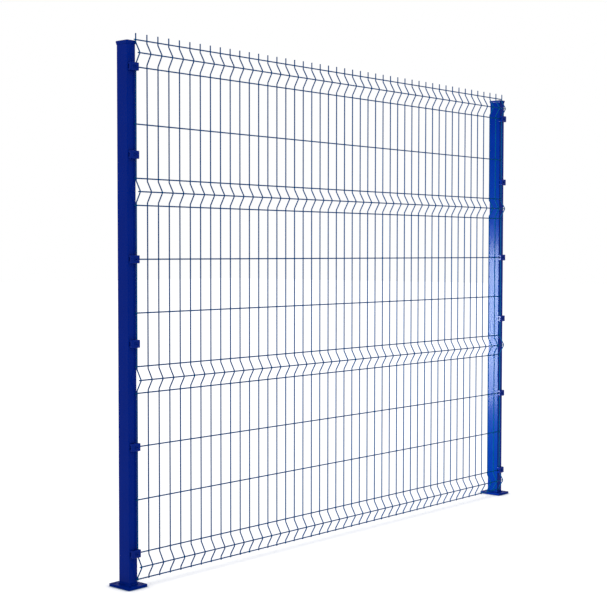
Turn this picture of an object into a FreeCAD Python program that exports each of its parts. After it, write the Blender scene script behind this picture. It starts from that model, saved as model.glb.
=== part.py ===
"""Welded mesh fence panel on its two posts: one bay, in millimetres.

The origin is the middle of the left base plate's underside. +X runs along the
fence to the right post, -Y is the side the mesh is clipped to, and +Z is up.
"""
import FreeCAD
import Part
import Sketcher
import math
import operator
import os
from types import SimpleNamespace

# Driving sizes of the bay, each set by itself
SIZES = {
    # Welded mesh
    "wire_thick": 5,
    "wire_pitch": 55,
    "wire_overhang": 4,
    "wire_tail": 3,
    "wire_spike": 23,
    "cell_tall": 200,
    "top_cell_tall": 210,
    "fold_tall": 100,
    "fold_deep": 21.5,
    "fold_angle": 30.5,
    "ground_gap": 27.5,
    # Posts
    "post_wide": 40,
    "post_deep": 60,
    "post_wall": 2,
    "post_corner": 3,
    "post_drop": 7,
    # Caps on the posts
    "cap_play": 0.5,
    "cap_wall": 2.5,
    "cap_skirt": 10,
    "cap_top": 3,
    "cap_bevel": 1.5,
    # Base plates
    "plate_wide": 90,
    "plate_deep": 115,
    "plate_thick": 10,
    "anchor_hole": 11,
    "anchor_edge": 15,
    # Welds round the feet of the posts
    "weld_leg": 5,
    "weld_land": 1,
    # Clips between the mesh and the posts
    "clip_tall": 30,
    "clip_wall": 2,
    "clip_play": 1,
    "clip_room": 4.5,
    "clip_shift": 4,
    "clip_notch": 15,
    "clip_bevel": 1,
    "clip_rise": 86,
}

# Numbers of like pieces
COUNTS = {
    # Upright wires in each half of the mesh
    "half_wires": 23,
}

# Steps from row to row of the mesh, from its lowest level wire to its highest one
MESH_STEPS = (
    "fold", "cell", "cell", "cell",
    "fold", "cell", "cell", "cell",
    "fold", "cell", "top_cell", "fold",
)

# Rows of the mesh where a clip sits, from the top, and whether it is raised clear of a fold
CLIP_ROWS = ((11, False), (9, True), (7, False), (5, True), (3, False), (1, False))

# Distance under which two places of an edge count as one
TOUCH = 0.01

doc = FreeCAD.newDocument("fence_panel")


class Size:
    """A length that keeps its number beside the expression that drives it."""

    def __init__(self, number, text):
        self.number = number
        self.text = text

    def join(self, sign, act, other):
        """Work out a new size from this one and another size or a plain number."""
        number = getattr(other, "number", other)
        text = getattr(other, "text", other)
        return Size(act(self.number, number), f"({self.text} {sign} {text})")

    def __add__(self, other):
        return self.join("+", operator.add, other)

    def __sub__(self, other):
        return self.join("-", operator.sub, other)

    def __mul__(self, other):
        return self.join("*", operator.mul, other)

    def __truediv__(self, other):
        return self.join("/", operator.truediv, other)

    def __neg__(self):
        return self.join("*", operator.mul, -1)

    def tangent(self):
        """Work out the tangent of this size, read as an angle in degrees."""
        return Size(math.tan(math.radians(self.number)), f"tan({self.text} * 1 deg)")


def fill_sheet():
    """Give every driving size and count a named cell and return them by name."""
    sheet = doc.addObject("Spreadsheet::Sheet", "sizes")
    named = {}
    for row, (name, number) in enumerate((SIZES | COUNTS).items(), start=1):
        sheet.set(f"A{row}", str(number))
        sheet.setAlias(f"A{row}", name)
        named[name] = Size(number, f"sizes.{name}")
    for name, number in COUNTS.items():
        named[name] = Size(round(number), f"round(sizes.{name})")
    doc.recompute()
    return SimpleNamespace(**named)


def mesh_rows():
    """List the heights of the straight rows of the mesh above its lowest wire."""
    rows = [ZERO]
    for step in MESH_STEPS:
        rows.append(rows[-1] + getattr(size, step + "_tall"))
    return rows


def fold_bases():
    """List the heights at which the folds of the mesh start."""
    return [row for row, step in zip(mesh_rows(), MESH_STEPS) if step == "fold"]


size = fill_sheet()
ZERO = size.wire_thick * 0

# Places that several pieces share
post_front = -size.post_deep / 2
slit_wide = size.wire_thick + size.clip_play
outer_wire = size.post_wide / 2 - size.clip_wall - slit_wide / 2
half_long = size.wire_pitch * (size.half_wires - 0.5)
bay_long = (half_long + outer_wire) * 2
clip_hollow = size.wire_thick * 2 + size.clip_room
clip_proud = clip_hollow + size.clip_wall
clip_slit = outer_wire - size.clip_shift
post_tall = size.ground_gap + mesh_rows()[-1] - size.post_drop - size.plate_thick


def new_body(name, along=ZERO, deep=ZERO, up=ZERO):
    """Start a sub-part whose own origin lies at a driven place of the bay."""
    body = doc.addObject("PartDesign::Body", name)
    body.Label = name
    for axis, place in (("x", along), ("y", deep), ("z", up)):
        body.setExpression(f"Placement.Base.{axis}", place.text)
    return body


def origin_feature(body, role):
    """Find one of the body's own origin planes or axes by its role."""
    return next(item for item in body.Origin.OriginFeatures if item.Role == role)


def new_sketch(body, name, plane, lift=ZERO):
    """Start a sketch on one of the body's origin planes, moved along its normal."""
    sketch = body.newObject("Sketcher::SketchObject", name)
    sketch.AttachmentSupport = (origin_feature(body, plane), "")
    sketch.MapMode = "FlatFace"
    sketch.setExpression("AttachmentOffset.Base.z", lift.text)
    return sketch


def pin(sketch, shape, point, place):
    """Hold a point of a sketch line or circle at its driven distances from the origin."""
    for kind, distance in zip(("DistanceX", "DistanceY"), place):
        constraint = Sketcher.Constraint(kind, -1, 1, shape, point, distance.number)
        index = sketch.addConstraint(constraint)
        sketch.setExpression(f"Constraints[{index}]", distance.text)


def draw_lines(sketch, points, closed):
    """Draw lines from point to point and pin each point."""
    vectors = [FreeCAD.Vector(across.number, up.number, 0) for across, up in points]
    ends = vectors[1:] + vectors[:1] if closed else vectors[1:]
    lines = [sketch.addGeometry(Part.LineSegment(a, b), False) for a, b in zip(vectors, ends)]
    for line, after in zip(lines, lines[1:] + lines[:1] if closed else lines[1:]):
        sketch.addConstraint(Sketcher.Constraint("Coincident", line, 2, after, 1))
    for line, place in zip(lines, points):
        pin(sketch, line, 1, place)
    if not closed:
        pin(sketch, lines[-1], 2, points[-1])


def draw_rectangle(sketch, left, right, low, high):
    """Draw a rectangle between four driven distances."""
    draw_lines(sketch, [(left, low), (right, low), (right, high), (left, high)], closed=True)


def draw_centred(sketch, wide, tall):
    """Draw a rectangle of a driven width and height about the sketch's origin."""
    draw_rectangle(sketch, -wide / 2, wide / 2, -tall / 2, tall / 2)


def draw_circle(sketch, across, up, diameter):
    """Draw a circle of a driven diameter about a driven centre."""
    centre = FreeCAD.Vector(across.number, up.number, 0)
    circle = sketch.addGeometry(Part.Circle(centre, FreeCAD.Vector(0, 0, 1), diameter.number / 2), False)
    pin(sketch, circle, 3, (across, up))
    index = sketch.addConstraint(Sketcher.Constraint("Diameter", circle, diameter.number))
    sketch.setExpression(f"Constraints[{index}]", diameter.text)


def add_pad(body, sketch, length):
    """Grow the body by its sketch, along the sketch's normal."""
    pad = body.newObject("PartDesign::Pad", sketch.Name + "_pad")
    pad.Profile = sketch
    pad.setExpression("Length", length.text)
    doc.recompute()
    return pad


def add_pocket(body, sketch, length, symmetric=False):
    """Cut the sketch out of the body along the sketch's normal, or to both sides of it."""
    before = body.Shape.Volume
    pocket = body.newObject("PartDesign::Pocket", sketch.Name + "_pocket")
    pocket.Profile = sketch
    pocket.Midplane = symmetric
    pocket.Reversed = not symmetric
    pocket.setExpression("Length", length.text)
    doc.recompute()
    if body.Shape.Volume > before - 1:
        raise RuntimeError(f"{pocket.Name} of {body.Label} cuts nothing")
    return pocket


def dress_edges(body, kind, chosen, reach):
    """Round or bevel the edges of the body that the test picks."""
    base = body.Tip
    names = [f"Edge{i}" for i, edge in enumerate(base.Shape.Edges, start=1) if chosen(edge)]
    feature = body.newObject(f"PartDesign::{kind}", f"{base.Name}_{kind.lower()}")
    feature.Base = (base, names)
    feature.setExpression("Radius" if kind == "Fillet" else "Size", reach.text)
    doc.recompute()
    return feature


def upright_at(half_wide, half_deep):
    """Make a test for the upright edges at the corners of a centred rectangle."""

    def test(edge):
        box = edge.BoundBox
        upright = box.XLength + box.YLength < TOUCH
        beside = abs(abs(box.Center.x) - half_wide.number) < TOUCH
        return upright and beside and abs(abs(box.Center.y) - half_deep.number) < TOUCH

    return test


def flat_at(axis, place):
    """Make a test for the edges that lie wholly in a plane across one axis."""

    def test(edge):
        low = getattr(edge.BoundBox, axis + "Min")
        high = getattr(edge.BoundBox, axis + "Max")
        return abs(low - place.number) < TOUCH and abs(high - place.number) < TOUCH

    return test


def fold_points(low):
    """List the four bends of an upright wire's fold that starts at a driven height.

    The crest is as tall on its inner side as the level wire that lies in it.
    """
    crest = size.wire_thick * ((size.fold_angle / 2).tangent() + 1)
    slope = size.fold_deep / size.fold_angle.tangent()
    middle = low + size.fold_tall / 2
    return [
        (ZERO, middle - crest / 2 - slope),
        (-size.fold_deep, middle - crest / 2),
        (-size.fold_deep, middle + crest / 2),
        (ZERO, middle + crest / 2 + slope),
    ]


def make_mesh_half(name, start, first_wire):
    """Make half of the welded mesh: folded upright wires with level wires behind them.

    The half starts at a driven place along the bay, and its first upright wire
    stands a driven distance further on. Each wire is a square bar, and the level
    bars lie flat on the backs of the upright ones, where they are welded.
    """
    half = size.wire_thick / 2
    body = new_body(
        name,
        along=start,
        deep=post_front - size.wire_thick - half,
        up=size.ground_gap - size.wire_tail,
    )

    route = new_sketch(body, name + "_route", "YZ_Plane", lift=first_wire)
    points = [(ZERO, ZERO)]
    for base in fold_bases():
        points += fold_points(size.wire_tail + base)
    points.append((ZERO, size.wire_tail + mesh_rows()[-1] + size.wire_spike))
    draw_lines(route, points, closed=False)

    section = new_sketch(body, name + "_section", "XY_Plane")
    draw_rectangle(section, first_wire - half, first_wire + half, -half, half)
    upright = body.newObject("PartDesign::AdditivePipe", name + "_upright")
    upright.Profile = section
    upright.Spine = route
    upright.Transition = "Right corner"
    doc.recompute()

    levels = new_sketch(body, name + "_levels", "YZ_Plane")
    places = [(ZERO, row) for row in mesh_rows()]
    places += [(-size.fold_deep, base + size.fold_tall / 2) for base in fold_bases()]
    for front, row in places:
        height = size.wire_tail + row
        draw_rectangle(levels, front + half, front + half * 3, height - half, height + half)
    add_pad(body, levels, half_long + size.wire_overhang)

    spread = body.newObject("PartDesign::LinearPattern", name + "_spread")
    spread.Originals = [upright]
    spread.Direction = (origin_feature(body, "X_Axis"), [""])
    spread.Mode = "Spacing"
    spread.setExpression("Offset", size.wire_pitch.text)
    spread.setExpression("Occurrences", size.half_wires.text)
    body.Tip = spread
    doc.recompute()
    return body


def make_post(name, along):
    """Make a post from rectangular steel tube with rounded corners."""
    body = new_body(name, along=along, up=size.plate_thick)
    outline = new_sketch(body, name + "_outline", "XY_Plane")
    draw_centred(outline, size.post_wide, size.post_deep)
    add_pad(body, outline, post_tall)
    dress_edges(body, "Fillet", upright_at(size.post_wide / 2, size.post_deep / 2), size.post_corner)
    bore = new_sketch(body, name + "_bore", "XY_Plane")
    draw_centred(bore, size.post_wide - size.post_wall * 2, size.post_deep - size.post_wall * 2)
    add_pocket(body, bore, post_tall)
    return body


def make_cap(name, along):
    """Make the shallow cap that slips over the top of a post."""
    inner_wide = size.post_wide + size.cap_play * 2
    inner_deep = size.post_deep + size.cap_play * 2
    outer_wide = inner_wide + size.cap_wall * 2
    outer_deep = inner_deep + size.cap_wall * 2
    body = new_body(name, along=along, up=size.plate_thick + post_tall)
    outline = new_sketch(body, name + "_outline", "XY_Plane", lift=-size.cap_skirt)
    draw_centred(outline, outer_wide, outer_deep)
    add_pad(body, outline, size.cap_skirt + size.cap_top)
    dress_edges(body, "Fillet", upright_at(outer_wide / 2, outer_deep / 2), size.post_corner)
    dress_edges(body, "Chamfer", flat_at("Z", size.cap_top), size.cap_bevel)
    hollow = new_sketch(body, name + "_hollow", "XY_Plane", lift=-size.cap_skirt)
    draw_centred(hollow, inner_wide, inner_deep)
    add_pocket(body, hollow, size.cap_skirt)
    return body


def anchor_places():
    """List the centres of the four anchor holes about the middle of a base plate."""
    across = size.plate_wide / 2 - size.anchor_edge
    deep = size.plate_deep / 2 - size.anchor_edge
    return [(-across, -deep), (across, -deep), (across, deep), (-across, deep)]


def make_base_plate(name, along):
    """Make the plate under a post, with a hole for an anchor bolt at each corner."""
    body = new_body(name, along=along)
    outline = new_sketch(body, name + "_outline", "XY_Plane")
    draw_centred(outline, size.plate_wide, size.plate_deep)
    add_pad(body, outline, size.plate_thick)
    holes = new_sketch(body, name + "_holes", "XY_Plane")
    for across, deep in anchor_places():
        draw_circle(holes, across, deep, size.anchor_hole)
    add_pocket(body, holes, size.plate_thick)
    return body


def make_foot_weld(name, along):
    """Make the weld that runs round the foot of a post on its base plate."""
    body = new_body(name, along=along, up=size.plate_thick)
    outline = new_sketch(body, name + "_outline", "XY_Plane")
    draw_centred(outline, size.post_wide + size.weld_leg * 2, size.post_deep + size.weld_leg * 2)
    add_pad(body, outline, size.weld_leg)
    dress_edges(body, "Chamfer", flat_at("Z", size.weld_leg), size.weld_leg - size.weld_land)
    bore = new_sketch(body, name + "_bore", "XY_Plane")
    draw_centred(bore, size.post_wide, size.post_deep)
    add_pocket(body, bore, size.weld_leg)
    return body


def make_clip(name, along, up):
    """Make a pressed clip: a tray that closes over the wires on the face of a post.

    The ends of the tray are slit on both sides of its middle, so that it takes the
    outer upright wire on either post, and its sides are notched for the level wires.
    """
    wide = size.post_wide
    body = new_body(name, along=along, deep=post_front, up=up)
    outline = new_sketch(body, name + "_outline", "XZ_Plane")
    draw_centred(outline, wide, size.clip_tall)
    add_pad(body, outline, clip_proud)
    dress_edges(body, "Chamfer", flat_at("Y", -clip_proud), size.clip_bevel)
    hollow = new_sketch(body, name + "_hollow", "XZ_Plane")
    draw_centred(hollow, wide - size.clip_wall * 2, size.clip_tall - size.clip_wall * 2)
    add_pocket(body, hollow, clip_hollow)

    slits = new_sketch(body, name + "_slits", "XY_Plane")
    for middle in (-clip_slit, clip_slit):
        draw_rectangle(slits, middle - slit_wide / 2, middle + slit_wide / 2, -clip_hollow, ZERO)
    add_pocket(body, slits, size.clip_tall, symmetric=True)

    notch = new_sketch(body, name + "_notch", "YZ_Plane")
    draw_rectangle(notch, -slit_wide, ZERO, -size.clip_notch / 2, size.clip_notch / 2)
    add_pocket(body, notch, wide, symmetric=True)
    return body


def make_clips(side, along):
    """Make the clips of one post, numbered from the top."""
    clips = []
    for number, (row, raised) in enumerate(CLIP_ROWS, start=1):
        up = size.ground_gap + mesh_rows()[row]
        if raised:
            up = up + size.clip_rise
        clips.append(make_clip(f"clip_{side}_{number}", along, up))
    return clips


def make_post_set(side, along, shift):
    """Make one post with its cap, base plate and foot weld, and its clips set off to one side."""
    return [
        make_post(f"post_{side}", along),
        make_cap(f"cap_{side}", along),
        make_base_plate(f"base_plate_{side}", along),
        make_foot_weld(f"foot_weld_{side}", along),
        *make_clips(side, along + shift),
    ]


def check_document():
    """Stop if any object of the document failed to compute."""
    for item in doc.Objects:
        if "Invalid" in item.State or "Error" in item.State:
            raise RuntimeError(f"{item.Label} failed: {item.State}")


def write_parts(bodies):
    """Check each sub-part's solid and write it to a file of its own."""
    os.makedirs("parts", exist_ok=True)
    for body in bodies:
        shape = body.Shape
        if shape.isNull() or not shape.isValid() or len(shape.Solids) != 1:
            raise RuntimeError(f"{body.Label} is not one valid solid")
        shape.exportStep(f"parts/{body.Label}.step")


sub_parts = [
    make_mesh_half("mesh_left", outer_wire - size.wire_overhang, size.wire_overhang),
    make_mesh_half("mesh_right", bay_long / 2, size.wire_pitch / 2),
    *make_post_set("left", ZERO, size.clip_shift),
    *make_post_set("right", bay_long, -size.clip_shift),
]
doc.recompute()
check_document()
write_parts(sub_parts)
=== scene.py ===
import math

import bmesh
import bpy
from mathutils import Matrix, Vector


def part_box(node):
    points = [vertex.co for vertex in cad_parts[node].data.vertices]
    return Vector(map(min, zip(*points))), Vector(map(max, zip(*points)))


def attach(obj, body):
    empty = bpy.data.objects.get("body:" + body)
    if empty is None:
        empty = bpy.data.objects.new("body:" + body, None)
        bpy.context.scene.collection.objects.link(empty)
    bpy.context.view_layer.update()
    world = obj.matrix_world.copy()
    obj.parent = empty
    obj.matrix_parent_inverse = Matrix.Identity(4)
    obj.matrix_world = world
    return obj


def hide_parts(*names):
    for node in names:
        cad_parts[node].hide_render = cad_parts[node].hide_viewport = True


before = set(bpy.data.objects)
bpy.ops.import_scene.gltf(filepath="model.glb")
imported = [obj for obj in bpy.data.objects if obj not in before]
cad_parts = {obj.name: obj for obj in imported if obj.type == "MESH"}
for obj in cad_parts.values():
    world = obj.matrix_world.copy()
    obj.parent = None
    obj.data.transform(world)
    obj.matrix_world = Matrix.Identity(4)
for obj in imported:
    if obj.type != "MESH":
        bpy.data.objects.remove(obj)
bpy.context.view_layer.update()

# Base plates.
# Two pieces of 10 mm steel plate, one under each post, drilled with four anchor holes near the
# corners. They are sawn, drilled, welded to the posts and powder coated with them.

ORIGIN = (0.0, 0.0, 0.0)
SQUARE_ON = 0.9
STRAIGHT = 0.999
FLAT_UP_TO = math.radians(35)


def name_piece(name):
    """Name the piece that is being worked on, and its mesh."""
    piece = bpy.context.object
    piece.name = name
    piece.data.name = name
    return piece


def take_up(piece):
    """Pick one piece to work on, and nothing else."""
    bpy.ops.object.select_all(action="DESELECT")
    piece.select_set(True)
    bpy.context.view_layer.objects.active = piece


def saw_block(name, low, high):
    """Start a piece as a solid block between two corners."""
    bpy.ops.object.select_all(action="DESELECT")
    bpy.ops.mesh.primitive_cube_add(size=1, enter_editmode=True)
    across = [b - a for a, b in zip(low, high)]
    middle = [(a + b) / 2 for a, b in zip(low, high)]
    bpy.ops.transform.resize(value=across, center_override=ORIGIN)
    bpy.ops.transform.translate(value=middle)
    bpy.ops.object.mode_set(mode="OBJECT")
    return name_piece(name)


def choose(piece, kind, test=lambda part: True):
    """Open a piece for shaping and select its faces, edges or verts that pass the test."""
    if piece.mode != "EDIT":
        take_up(piece)
        bpy.ops.object.mode_set(mode="EDIT")
    bpy.ops.mesh.select_mode(type={"verts": "VERT", "edges": "EDGE", "faces": "FACE"}[kind])
    bpy.ops.mesh.select_all(action="DESELECT")
    skin = bmesh.from_edit_mesh(piece.data)
    for part in getattr(skin, kind):
        part.select_set(bool(test(part)))
    skin.select_flush_mode()
    bmesh.update_edit_mesh(piece.data)


def put_down(piece):
    """Close a piece after shaping, with its faces pointing outwards."""
    bpy.ops.mesh.select_all(action="SELECT")
    bpy.ops.mesh.normals_make_consistent(inside=False)
    bpy.ops.object.mode_set(mode="OBJECT")


def stands_upright(edge):
    """Say whether an edge runs straight up."""
    step = edge.verts[0].co - edge.verts[1].co
    return abs(step.z) > step.length * STRAIGHT


def work(piece, kind, **settings):
    """Give a piece one modifier with its settings and apply it."""
    take_up(piece)
    step = piece.modifiers.new(kind.lower(), kind)
    for setting, value in settings.items():
        setattr(step, setting, value)
    bpy.ops.object.modifier_apply(modifier=step.name)


def cut_away(piece, tool):
    """Cut a tool's shape out of a piece and throw the tool away."""
    work(piece, "BOOLEAN", operation="DIFFERENCE", solver="EXACT", object=tool)
    bpy.data.objects.remove(tool)


def shade_flat_and_round(piece):
    """Shade a piece's roundings smooth and keep its large faces looking flat."""
    take_up(piece)
    bpy.ops.object.shade_smooth_by_angle(angle=FLAT_UP_TO)
    work(piece, "WEIGHTED_NORMAL", keep_sharp=True)


def soften(piece, reach, steps=2, sharper_than=40):
    """Round a piece's sharp edges a little, as the coating does, and shade it smooth."""
    work(
        piece,
        "BEVEL",
        width=reach,
        segments=steps,
        limit_method="ANGLE",
        angle_limit=math.radians(sharper_than),
        use_clamp_overlap=True,
    )
    shade_flat_and_round(piece)


def copy_along(piece, name, way):
    """Copy a finished piece, with a mesh of its own, and set the copy some way off."""
    take_up(piece)
    bpy.ops.object.duplicate()
    twin = name_piece(name)
    bpy.ops.object.mode_set(mode="EDIT")
    bpy.ops.mesh.select_all(action="SELECT")
    bpy.ops.transform.translate(value=way)
    bpy.ops.object.mode_set(mode="OBJECT")
    return twin


CLOUD_SCALE = 9.0
SPECK_SCALE = 420.0
SPECK_SHARE = 0.35
DEEP_BELOW = 0.45
THIN_ABOVE = 0.95
GLOSSIER_BY = 0.03
DULLER_BY = 0.05
PEEL_STRENGTH = 0.35
SHINE_TINT = (0.6, 0.8, 1.0, 1.0)


def link(coat, here, out, there, into):
    """Join one node's outlet to another node's inlet."""
    coat.node_tree.links.new(here.outputs[out], there.inputs[into])


def add_noise(coat, place, scale, detail):
    """Add a noise that lies still on the piece."""
    noise = coat.node_tree.nodes.new("ShaderNodeTexNoise")
    noise.inputs["Scale"].default_value = scale
    noise.inputs["Detail"].default_value = detail
    link(coat, place, "Object", noise, "Vector")
    return noise


def mix_coating(name, deep, thin, gloss, shine, peel, peel_depth):
    """Mix a baked blue coating: cloudy between two tones, with a fine orange peel in its gloss."""
    coat = bpy.data.materials.new(name)
    coat.use_nodes = True
    nodes = coat.node_tree.nodes
    skin = nodes["Principled BSDF"]
    place = nodes.new("ShaderNodeTexCoord")

    cloud = add_noise(coat, place, scale=CLOUD_SCALE, detail=3.0)
    speck = add_noise(coat, place, scale=SPECK_SCALE, detail=2.0)
    blend = nodes.new("ShaderNodeMath")
    blend.operation = "MULTIPLY_ADD"
    blend.inputs[1].default_value = SPECK_SHARE
    link(coat, speck, "Fac", blend, 0)
    link(coat, cloud, "Fac", blend, 2)
    tone = nodes.new("ShaderNodeValToRGB")
    tone.color_ramp.elements[0].position = DEEP_BELOW
    tone.color_ramp.elements[0].color = (*deep, 1.0)
    tone.color_ramp.elements[1].position = THIN_ABOVE
    tone.color_ramp.elements[1].color = (*thin, 1.0)
    link(coat, blend, "Value", tone, "Fac")
    link(coat, tone, "Color", skin, "Base Color")

    sheen = nodes.new("ShaderNodeMapRange")
    sheen.inputs["To Min"].default_value = gloss - GLOSSIER_BY
    sheen.inputs["To Max"].default_value = gloss + DULLER_BY
    link(coat, cloud, "Fac", sheen, "Value")
    link(coat, sheen, "Result", skin, "Roughness")

    dimple = add_noise(coat, place, scale=peel, detail=1.0)
    relief = nodes.new("ShaderNodeBump")
    relief.inputs["Strength"].default_value = PEEL_STRENGTH
    relief.inputs["Distance"].default_value = peel_depth
    link(coat, dimple, "Fac", relief, "Height")
    link(coat, relief, "Normal", skin, "Normal")

    skin.inputs["Specular IOR Level"].default_value = shine
    skin.inputs["Specular Tint"].default_value = SHINE_TINT
    return coat


def coat_piece(piece, coat):
    """Give a piece its coating and its slot, and let it ride on the fence."""
    piece.data.materials.clear()
    piece.data.materials.append(coat)
    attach(piece, "root")


PLATE_CORNER = 0.002
PLATE_SOFT = 0.0005
ANCHOR_REACH = (0.030, 0.0425)
ANCHOR_HOLE = 0.011
ANCHOR_DRILL = 0.03

plate_coat = mix_coating(
    "plate_coating",
    deep=(0.0, 0.011, 0.16),
    thin=(0.0, 0.0145, 0.195),
    gloss=0.3,
    shine=0.008,
    peel=650.0,
    peel_depth=0.00006,
)

plate_low, plate_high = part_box("base_plate_left")
bay_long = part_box("base_plate_right")[0].x - plate_low.x

plate = saw_block("coated_base_plate_left", plate_low, plate_high)
choose(plate, "edges", stands_upright)
bpy.ops.mesh.bevel(offset=PLATE_CORNER, segments=4)
put_down(plate)
for side in (-1, 1):
    for end in (-1, 1):
        bpy.ops.mesh.primitive_cylinder_add(
            vertices=32,
            radius=ANCHOR_HOLE / 2,
            depth=ANCHOR_DRILL,
            location=(side * ANCHOR_REACH[0], end * ANCHOR_REACH[1], 0.0),
        )
        cut_away(plate, bpy.context.object)
soften(plate, PLATE_SOFT)

plate_twin = copy_along(plate, "coated_base_plate_right", (bay_long, 0, 0))
for piece, side in ((plate, "left"), (plate_twin, "right")):
    coat_piece(piece, plate_coat)
    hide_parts("base_plate_" + side)

# Posts.
# Two cold rolled rectangular steel tubes, 40 mm by 60 mm with 2 mm walls and rounded corners,
# cut square and stood on the base plates. Their flat faces are smooth and the glossiest of all.

TUBE_WALL = 0.002
TUBE_CORNER = 0.003

post_coat = mix_coating(
    "post_coating",
    deep=(0.0, 0.0118, 0.182),
    thin=(0.0, 0.0138, 0.204),
    gloss=0.13,
    shine=0.032,
    peel=520.0,
    peel_depth=0.00002,
)

post_low, post_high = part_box("post_left")
post = saw_block("coated_post_left", post_low, post_high)
choose(post, "edges", stands_upright)
bpy.ops.mesh.bevel(offset=TUBE_CORNER, segments=6)
choose(post, "faces", lambda face: abs(face.normal.z) > SQUARE_ON)
bpy.ops.mesh.delete(type="FACE")
put_down(post)
work(post, "SOLIDIFY", thickness=TUBE_WALL, offset=-1.0, use_even_offset=True)
shade_flat_and_round(post)

post_twin = copy_along(post, "coated_post_right", (bay_long, 0, 0))
for piece, side in ((post, "left"), (post_twin, "right")):
    coat_piece(piece, post_coat)
    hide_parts("post_" + side)

# Foot welds.
# A bead of weld metal all round the foot of each post, laid by hand in short overlapping ripples
# between the tube and the plate, and coated over.

BEAD_THICK = 0.0065
BEAD_OUT = 0.001
BEAD_JOIN = 0.0002
RIPPLE_SWELL = 1.22
RIPPLE_RISE = 0.3
SHORT_SIDE_RIPPLES = 13
LONG_SIDE_RIPPLES = 21
ROUND_UP_TO = math.radians(60)

weld_coat = mix_coating(
    "weld_coating",
    deep=(0.0, 0.0105, 0.155),
    thin=(0.0, 0.0145, 0.195),
    gloss=0.22,
    shine=0.03,
    peel=900.0,
    peel_depth=0.0001,
)


def lay_ripples(count, start, run):
    """Draw the bead on along a straight side, one swelling ripple after another."""
    place = list(start)
    for _ in range(count):
        for share, size in ((RIPPLE_RISE, RIPPLE_SWELL), (1 - RIPPLE_RISE, 1 / RIPPLE_SWELL)):
            move = [way * share / count for way in run]
            bpy.ops.mesh.extrude_region_move(TRANSFORM_OT_translate={"value": move})
            place = [a + b for a, b in zip(place, move)]
            bpy.ops.transform.resize(value=(size, size, size), center_override=place)


bead_high = post_low.z + BEAD_OUT
side_x = post_high.x - TUBE_CORNER
side_y = post_high.y - TUBE_CORNER
bpy.ops.object.select_all(action="DESELECT")
bpy.ops.mesh.primitive_circle_add(
    vertices=12,
    radius=BEAD_THICK / 2,
    fill_type="NOTHING",
    rotation=(0, math.radians(90), 0),
    location=(-side_x, -post_high.y - BEAD_OUT, bead_high),
)
bead = name_piece("coated_foot_weld_left")
bpy.ops.object.transform_apply(location=True, rotation=True, scale=True)
choose(bead, "verts")
out = BEAD_OUT + TUBE_CORNER
for turn_x, turn_y, away, run, ripples in (
    (side_x, -side_y, (0, -out), (2 * side_x, 0, 0), SHORT_SIDE_RIPPLES),
    (side_x, side_y, (out, 0), (0, 2 * side_y, 0), LONG_SIDE_RIPPLES),
    (-side_x, side_y, (0, out), (-2 * side_x, 0, 0), SHORT_SIDE_RIPPLES),
    (-side_x, -side_y, (-out, 0), (0, -2 * side_y, 0), LONG_SIDE_RIPPLES),
):
    start = (turn_x + away[0] - run[0], turn_y + away[1] - run[1], bead_high)
    lay_ripples(ripples, start, run)
    bpy.ops.mesh.spin(
        steps=4, angle=math.radians(-90), center=(turn_x, turn_y, bead_high), axis=(0, 0, 1)
    )
bpy.ops.mesh.select_all(action="SELECT")
bpy.ops.mesh.remove_doubles(threshold=BEAD_JOIN)
put_down(bead)
bpy.ops.object.shade_smooth_by_angle(angle=ROUND_UP_TO)

bead_twin = copy_along(bead, "coated_foot_weld_right", (bay_long, 0, 0))
for piece, side in ((bead, "left"), (bead_twin, "right")):
    coat_piece(piece, weld_coat)
    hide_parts("foot_weld_" + side)

# Caps.
# A low moulded plastic lid pressed over the top of each tube, with a shallow recess in it and a
# rim a little proud of the steel. A narrow band under the lid draws in to a hollow skirt.

CAP_LID = 0.0065
CAP_BAND = 0.0025
CAP_DRAFT = 0.0012
CAP_PANEL = 0.006
CAP_ROUND = 0.004
CAP_SOFT = 0.0008
CAP_TOP = 0.003
CAP_PLAY = 0.0005
PANEL_DEEP = 0.0008
LEAST_RISE = 0.001

cap_plastic = mix_coating(
    "cap_plastic",
    deep=(0.0, 0.011, 0.165),
    thin=(0.0, 0.014, 0.19),
    gloss=0.14,
    shine=0.032,
    peel=1100.0,
    peel_depth=0.00003,
)

cap_low, cap_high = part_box("cap_left")
lid_foot = cap_high.z - CAP_LID
cap = saw_block("moulded_cap_left", cap_low, cap_high)
for height in (lid_foot, lid_foot - CAP_BAND):
    choose(cap, "faces")
    bpy.ops.mesh.bisect(plane_co=(0, 0, height), plane_no=(0, 0, 1))
choose(cap, "verts", lambda vert: vert.co.z < lid_foot - CAP_BAND / 2)
bpy.ops.transform.resize(
    value=(1 - CAP_DRAFT / cap_high.x, 1 - CAP_DRAFT / cap_high.y, 1),
    center_override=(0, 0, cap_low.z),
)
choose(cap, "faces", lambda face: face.normal.z > SQUARE_ON)
bpy.ops.mesh.inset(thickness=CAP_PANEL)
bpy.ops.mesh.inset(thickness=PANEL_DEEP)
bpy.ops.transform.translate(value=(0, 0, -PANEL_DEEP))
choose(cap, "edges", lambda edge: abs(edge.verts[0].co.z - edge.verts[1].co.z) > LEAST_RISE)
bpy.ops.mesh.bevel(offset=CAP_ROUND, segments=5)
put_down(cap)
soften(cap, CAP_SOFT, steps=3, sharper_than=30)
core = saw_block(
    "cap_core",
    (post_low.x - CAP_PLAY, post_low.y - CAP_PLAY, cap_low.z - CAP_TOP),
    (post_high.x + CAP_PLAY, post_high.y + CAP_PLAY, cap_high.z - CAP_TOP),
)
cut_away(cap, core)
shade_flat_and_round(cap)

cap_twin = copy_along(cap, "moulded_cap_right", (bay_long, 0, 0))
for piece, side in ((cap, "left"), (cap_twin, "right")):
    coat_piece(piece, cap_plastic)
    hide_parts("cap_" + side)

# Welded mesh.
# Forty six upright steel wires, each bent forward in four folds, with seventeen level wires
# behind them. They are drawn, resistance welded at every crossing, folded and coated as one.

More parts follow.
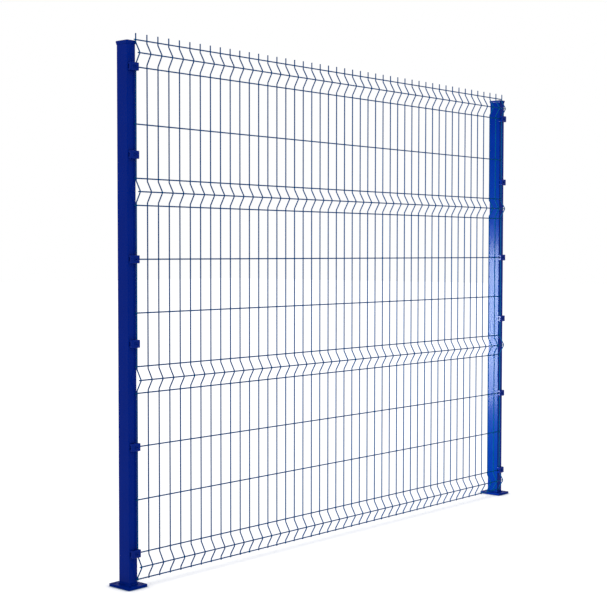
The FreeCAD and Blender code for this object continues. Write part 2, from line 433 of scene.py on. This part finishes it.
WIRE_THICK = 0.005
WIRE_SIDES = 12
WIRE_END_SOFT = 0.0005
WIRES = 46
WIRE_PITCH = 0.055
FIRST_WIRE = 0.015
FOLD_DEEP = 0.0215
FOLD_TALL = 0.100
FOLD_LEAN = math.radians(30.5)
FOLD_ROWS = (0.0, 0.700, 1.400, 1.910)
LEVEL_ROWS = (0.0, 0.1, 0.3, 0.5, 0.7, 0.8, 1.0, 1.2, 1.4, 1.5, 1.7, 1.91, 2.01)
GROUND_GAP = 0.0275
BEND = 0.006
NUGGET_REACH = 0.003
NUGGET_FLAT = 0.72

mesh_low, mesh_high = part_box("mesh_left")[0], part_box("mesh_right")[1]
front_y = post_low.y - WIRE_THICK * 1.5
back_y = post_low.y - WIRE_THICK * 0.5

wire_coat = mix_coating(
    "wire_coating",
    deep=(0.0, 0.052, 0.175),
    thin=(0.0, 0.064, 0.21),
    gloss=0.35,
    shine=0.008,
    peel=800.0,
    peel_depth=0.00006,
)


class WireEnd:
    """The open end of the wire that is being bent: where it is and how far it leans forward."""

    def __init__(self, deep, high):
        self.deep = deep
        self.high = high
        self.lean = 0.0

    def draw(self, length):
        """Draw the wire straight on by a length."""
        ahead = (-math.sin(self.lean) * length, math.cos(self.lean) * length)
        bpy.ops.mesh.extrude_region_move(TRANSFORM_OT_translate={"value": (0, *ahead)})
        self.deep += ahead[0]
        self.high += ahead[1]

    def bend(self, turn):
        """Bend the wire forward, or back where the turn is negative."""
        side = math.copysign(BEND, turn)
        centre_y = self.deep - side * math.cos(self.lean)
        centre_z = self.high - side * math.sin(self.lean)
        bpy.ops.mesh.spin(
            steps=3, angle=-turn, center=(FIRST_WIRE, centre_y, centre_z), axis=(1, 0, 0)
        )
        self.lean += turn
        self.deep = centre_y + side * math.cos(self.lean)
        self.high = centre_z + side * math.sin(self.lean)


def blunt_ends(wire, axis):
    """Take the sharp edge off the cut ends of a wire that runs along an axis."""
    choose(
        wire,
        "edges",
        lambda edge: any(abs(face.normal[axis]) > SQUARE_ON for face in edge.link_faces),
    )
    bpy.ops.mesh.bevel(offset=WIRE_END_SOFT, segments=1)


def repeat_at_rows(places):
    """Copy what is selected from the first place on to each of the others in turn."""
    for before, after in zip(places, places[1:]):
        step = (0, after[0] - before[0], after[1] - before[1])
        bpy.ops.mesh.duplicate_move(TRANSFORM_OT_translate={"value": step})


def repeat_along_bay(piece):
    """Repeat the first upright's piece for all the other uprights."""
    work(
        piece,
        "ARRAY",
        count=WIRES,
        use_relative_offset=False,
        use_constant_offset=True,
        constant_offset_displace=(WIRE_PITCH, 0, 0),
    )


crest = WIRE_THICK * (math.tan(FOLD_LEAN / 2) + 1)
slope = FOLD_DEEP / math.tan(FOLD_LEAN)
leg = FOLD_DEEP / math.sin(FOLD_LEAN)
nip = BEND * math.tan(FOLD_LEAN / 2)

bpy.ops.object.select_all(action="DESELECT")
bpy.ops.mesh.primitive_circle_add(
    vertices=WIRE_SIDES, radius=WIRE_THICK / 2, fill_type="NGON", enter_editmode=True
)
bpy.ops.transform.translate(value=(FIRST_WIRE, front_y, mesh_low.z))
end = WireEnd(front_y, mesh_low.z)
for row in FOLD_ROWS:
    middle = GROUND_GAP + row + FOLD_TALL / 2
    end.draw(middle - crest / 2 - slope - nip - end.high)
    end.bend(FOLD_LEAN)
    end.draw(leg - nip * 2)
    end.bend(-FOLD_LEAN)
    end.draw(crest - nip * 2)
    end.bend(-FOLD_LEAN)
    end.draw(leg - nip * 2)
    end.bend(FOLD_LEAN)
end.draw(mesh_high.z - end.high)
bpy.ops.object.mode_set(mode="OBJECT")
uprights = name_piece("upright_wires")
blunt_ends(uprights, axis=2)
put_down(uprights)
repeat_along_bay(uprights)

level_places = [(back_y, GROUND_GAP + row) for row in LEVEL_ROWS]
level_places += [
    (back_y - FOLD_DEEP, GROUND_GAP + row + FOLD_TALL / 2) for row in FOLD_ROWS
]
bpy.ops.object.select_all(action="DESELECT")
bpy.ops.mesh.primitive_cylinder_add(
    vertices=WIRE_SIDES,
    radius=WIRE_THICK / 2,
    depth=mesh_high.x - mesh_low.x,
    rotation=(0, math.radians(90), 0),
    location=((mesh_low.x + mesh_high.x) / 2, *level_places[0]),
)
bpy.ops.object.transform_apply(location=True, rotation=True, scale=True)
levels = name_piece("level_wires")
blunt_ends(levels, axis=0)
bpy.ops.mesh.select_all(action="SELECT")
repeat_at_rows(level_places)
put_down(levels)

bpy.ops.object.select_all(action="DESELECT")
bpy.ops.mesh.primitive_uv_sphere_add(
    segments=8, ring_count=4, radius=NUGGET_REACH, enter_editmode=True
)
bpy.ops.transform.resize(value=(1.0, NUGGET_FLAT, 1.0), center_override=ORIGIN)
bpy.ops.transform.translate(
    value=(FIRST_WIRE, level_places[0][0] - WIRE_THICK / 2, level_places[0][1])
)
repeat_at_rows(level_places)
bpy.ops.object.mode_set(mode="OBJECT")
nuggets = name_piece("spot_welds")
repeat_along_bay(nuggets)

take_up(uprights)
levels.select_set(True)
nuggets.select_set(True)
bpy.ops.object.join()
welded_mesh = name_piece("welded_mesh")
bpy.ops.object.shade_smooth_by_angle(angle=ROUND_UP_TO)
coat_piece(welded_mesh, wire_coat)
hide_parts("mesh_left", "mesh_right")

# Clips.
# Twelve small trays pressed from 2 mm sheet, six on each post. Slits in the top and bottom walls
# pass over the outermost upright wire, and a notch in each side passes over a level wire.

CLIPS_ON_POST = 6
CLIP_WALL = 0.002
CLIP_ROUND = 0.0025
CLIP_SOFT = 0.0003
SLIT_PLACE = 0.011
SLIT_WIDE = 0.006
NOTCH_TALL = 0.015
NOTCH_DEEP = 0.006
PUNCH_PAST = 0.01
DISH_RIM = 0.0085
DISH_STEP = 0.0008
HAIR = 0.0001

clip_coat = mix_coating(
    "clip_coating",
    deep=(0.0, 0.011, 0.165),
    thin=(0.0, 0.0145, 0.195),
    gloss=0.16,
    shine=0.05,
    peel=900.0,
    peel_depth=0.00004,
)

clip_low, clip_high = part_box("clip_left_1")
clip_middle = (clip_low + clip_high) / 2


def at_clip_corner(vert):
    """Say whether a corner of the mesh is still a corner of the sawn block."""
    reach = vert.co - clip_middle
    half = clip_high - clip_middle
    return abs(reach.x) > half.x - HAIR and abs(reach.z) > half.z - HAIR


def is_front_corner_edge(edge):
    """Say whether an edge joins corners of the block and isn't one of the four at its back."""
    front = min(vert.co.y for vert in edge.verts) < clip_middle.y
    return front and all(at_clip_corner(vert) for vert in edge.verts)


clip = saw_block("pressed_clip_left_1", clip_low, clip_high)
choose(clip, "faces", lambda face: face.normal.y < -SQUARE_ON)
bpy.ops.mesh.inset(thickness=DISH_RIM)
bpy.ops.mesh.inset(thickness=DISH_STEP)
bpy.ops.transform.translate(value=(0, DISH_STEP, 0))
choose(clip, "edges", is_front_corner_edge)
bpy.ops.mesh.bevel(offset=CLIP_ROUND, segments=5)
choose(clip, "faces", lambda face: face.normal.y > SQUARE_ON)
bpy.ops.mesh.delete(type="FACE")
put_down(clip)
work(clip, "SOLIDIFY", thickness=CLIP_WALL, offset=-1.0, use_even_offset=True)
notch = saw_block(
    "notch_punch",
    (clip_low.x - PUNCH_PAST, clip_high.y - NOTCH_DEEP, clip_middle.z - NOTCH_TALL / 2),
    (clip_high.x + PUNCH_PAST, clip_high.y + PUNCH_PAST, clip_middle.z + NOTCH_TALL / 2),
)
cut_away(clip, notch)
for side in (-1, 1):
    slit_middle = clip_middle.x + side * SLIT_PLACE
    slit = saw_block(
        "slit_punch",
        (slit_middle - SLIT_WIDE / 2, clip_low.y + CLIP_WALL, clip_low.z - PUNCH_PAST),
        (slit_middle + SLIT_WIDE / 2, clip_high.y + PUNCH_PAST, clip_high.z + PUNCH_PAST),
    )
    cut_away(clip, slit)
soften(clip, CLIP_SOFT)

# Clip bolts.
# A button head bolt with a washer holds each clip to a threaded insert in the post. The head has
# a six sided socket, and bolt and washer are coated with the rest.

HEAD_WIDE = 0.013
HEAD_TALL = 0.0036
HEAD_SOFT = 0.0002
SOCKET_WIDE = 0.005
SOCKET_DEEP = 0.003
WASHER_WIDE = 0.016
WASHER_THICK = 0.0012
WASHER_SOFT = 0.0003

bolt_coat = mix_coating(
    "bolt_coating",
    deep=(0.0, 0.0105, 0.15),
    thin=(0.0, 0.014, 0.18),
    gloss=0.22,
    shine=0.04,
    peel=700.0,
    peel_depth=0.00004,
)

seat_y = clip_low.y + DISH_STEP
head_y = seat_y - WASHER_THICK
dome = (HEAD_WIDE**2 / 4 + HEAD_TALL**2) / (2 * HEAD_TALL)
bpy.ops.object.select_all(action="DESELECT")
bpy.ops.mesh.primitive_uv_sphere_add(
    segments=24,
    ring_count=24,
    radius=dome,
    rotation=(math.radians(90), 0, 0),
    location=(clip_middle.x, head_y + dome - HEAD_TALL, clip_middle.z),
)
bpy.ops.object.transform_apply(location=True, rotation=True, scale=True)
bolt = name_piece("clip_bolt_left_1")
choose(bolt, "faces")
bpy.ops.mesh.bisect(
    plane_co=(0, head_y, 0), plane_no=(0, 1, 0), clear_outer=True, use_fill=True
)
put_down(bolt)
bpy.ops.mesh.primitive_cylinder_add(
    vertices=6,
    radius=SOCKET_WIDE / math.sqrt(3),
    depth=SOCKET_DEEP * 2,
    rotation=(math.radians(90), 0, 0),
    location=(clip_middle.x, head_y - HEAD_TALL, clip_middle.z),
)
cut_away(bolt, bpy.context.object)
soften(bolt, HEAD_SOFT, steps=1)
bpy.ops.object.select_all(action="DESELECT")
bpy.ops.mesh.primitive_cylinder_add(
    vertices=32,
    radius=WASHER_WIDE / 2,
    depth=WASHER_THICK,
    rotation=(math.radians(90), 0, 0),
    location=(clip_middle.x, seat_y - WASHER_THICK / 2, clip_middle.z),
)
bpy.ops.object.transform_apply(location=True, rotation=True, scale=True)
washer = name_piece("washer")
soften(washer, WASHER_SOFT)
take_up(bolt)
washer.select_set(True)
bpy.ops.object.join()

for side in ("left", "right"):
    for number in range(1, CLIPS_ON_POST + 1):
        place = f"{side}_{number}"
        if place == "left_1":
            pressed, fixed = clip, bolt
        else:
            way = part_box("clip_" + place)[0] - clip_low
            pressed = copy_along(clip, "pressed_clip_" + place, way)
            fixed = copy_along(bolt, "clip_bolt_" + place, way)
        coat_piece(pressed, clip_coat)
        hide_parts("clip_" + place)
        coat_piece(fixed, bolt_coat)

# Studio.
# A plain white floor in even light, with painted blue-grey shade where the fence comes close. A
# tall soft lamp behind the fence shines back from the side of the far post, and a weak azure one
# fills it.

FLOOR_WIDE = 80
FLOOR_DROP = 0.001
PAPER_COLOUR = (0.94, 0.94, 0.96, 1.0)
GLOW_STRENGTH = 1.5
GLOW_SHARE = 0.35
SHADE_COLOUR = (0.0, 0.07, 0.2, 1.0)
SHADE_REACH = 0.036
SHADE_FALL = 1.9
WHITE = (1.0, 1.0, 1.0, 1.0)

bpy.ops.object.select_all(action="DESELECT")
bpy.ops.mesh.primitive_plane_add(size=FLOOR_WIDE, location=(1.25, 0, -FLOOR_DROP))
floor = name_piece("studio_floor")
paper = bpy.data.materials.new("studio_paper")
paper.use_nodes = True
paper_nodes = paper.node_tree.nodes
matt = paper_nodes["Principled BSDF"]
matt.inputs["Base Color"].default_value = PAPER_COLOUR
matt.inputs["Roughness"].default_value = 1.0
matt.inputs["Specular IOR Level"].default_value = 0.0
glow = paper_nodes.new("ShaderNodeEmission")
glow.inputs["Strength"].default_value = GLOW_STRENGTH
seen = paper_nodes.new("ShaderNodeLightPath")
mirrored = paper_nodes.new("ShaderNodeMath")
mirrored.operation = "MAXIMUM"
link(paper, seen, "Is Camera Ray", mirrored, 0)
link(paper, seen, "Is Glossy Ray", mirrored, 1)
passed = paper_nodes.new("ShaderNodeMath")
passed.operation = "MAXIMUM"
link(paper, mirrored, "Value", passed, 0)
link(paper, seen, "Is Transmission Ray", passed, 1)
share = paper_nodes.new("ShaderNodeMath")
share.operation = "MULTIPLY"
share.inputs[1].default_value = GLOW_SHARE
link(paper, passed, "Value", share, 0)
mixed = paper_nodes.new("ShaderNodeMixShader")
link(paper, share, "Value", mixed, "Fac")
link(paper, matt, "BSDF", mixed, 1)
link(paper, glow, "Emission", mixed, 2)
# Painted shade: near the plates and the lowest wire the paper is blended towards a dark blue glow.
close_by = paper_nodes.new("ShaderNodeAmbientOcclusion")
close_by.samples = 8
close_by.inputs["Distance"].default_value = SHADE_REACH
deepened = paper_nodes.new("ShaderNodeMath")
deepened.operation = "POWER"
deepened.inputs[1].default_value = SHADE_FALL
link(paper, close_by, "AO", deepened, 0)
shade = paper_nodes.new("ShaderNodeEmission")
shade.inputs["Color"].default_value = SHADE_COLOUR
shaded = paper_nodes.new("ShaderNodeMixShader")
link(paper, deepened, "Value", shaded, "Fac")
link(paper, shade, "Emission", shaded, 1)
link(paper, mixed, "Shader", shaded, 2)
link(paper, shaded, "Shader", paper_nodes["Material Output"], "Surface")
floor.data.materials.append(paper)

sky = bpy.data.worlds.new("studio_air")
sky.use_nodes = True
even = sky.node_tree.nodes["Background"]
even.inputs["Color"].default_value = WHITE
even.inputs["Strength"].default_value = 1.0
bpy.context.scene.world = sky


def hang_light(name, place, target, wide, tall, power, spread):
    """Hang a soft rectangular lamp that faces a point and isn't itself seen."""
    bpy.ops.object.light_add(type="AREA", location=place)
    lamp = bpy.context.object
    lamp.name = name
    facing = [b - a for a, b in zip(place, target)]
    lamp.rotation_euler = (
        math.atan2(math.hypot(facing[0], facing[1]), -facing[2]),
        0,
        math.atan2(facing[1], facing[0]) - math.radians(90),
    )
    lamp.data.shape = "RECTANGLE"
    lamp.data.size = wide
    lamp.data.size_y = tall
    lamp.data.energy = power
    lamp.data.spread = math.radians(spread)
    lamp.visible_camera = False
    return lamp


side_panel = hang_light(
    "side_panel",
    place=(-0.87, 2.16, 0.665),
    target=(2.485, 0.0, 0.665),
    wide=0.4,
    tall=1.24,
    power=41.0,
    spread=64,
)
side_panel.data.color = (1.0, 0.93, 0.8)
kept_off = bpy.data.collections.new("side_panel_kept_off")
kept_off.objects.link(floor)
side_panel.light_linking.receiver_collection = kept_off
kept_off.collection_objects[0].light_linking.link_state = "EXCLUDE"

side_fill = hang_light(
    "side_fill",
    place=(1.2, 0.06, 0.78),
    target=(2.485, 0.0, 0.78),
    wide=0.1,
    tall=1.1,
    power=14.0,
    spread=80,
)
side_fill.data.color = (0.0, 1.0, 0.15)
side_fill.visible_glossy = False
lit_alone = bpy.data.collections.new("side_fill_lit_alone")
lit_alone.objects.link(post_twin)
side_fill.light_linking.receiver_collection = lit_alone

bpy.ops.object.camera_add(
    location=(-3.1724, -3.6631, 1.2555),
    rotation=(math.radians(87.710), math.radians(-0.0564), math.radians(-48.6863)),
)
camera = bpy.context.object
camera.name = "photographer"
camera.data.sensor_width = 36.0
camera.data.lens = 76.525
camera.data.clip_start = 0.05
camera.data.clip_end = 200.0
bpy.context.scene.camera = camera
bpy.context.scene.view_settings.view_transform = "Standard"
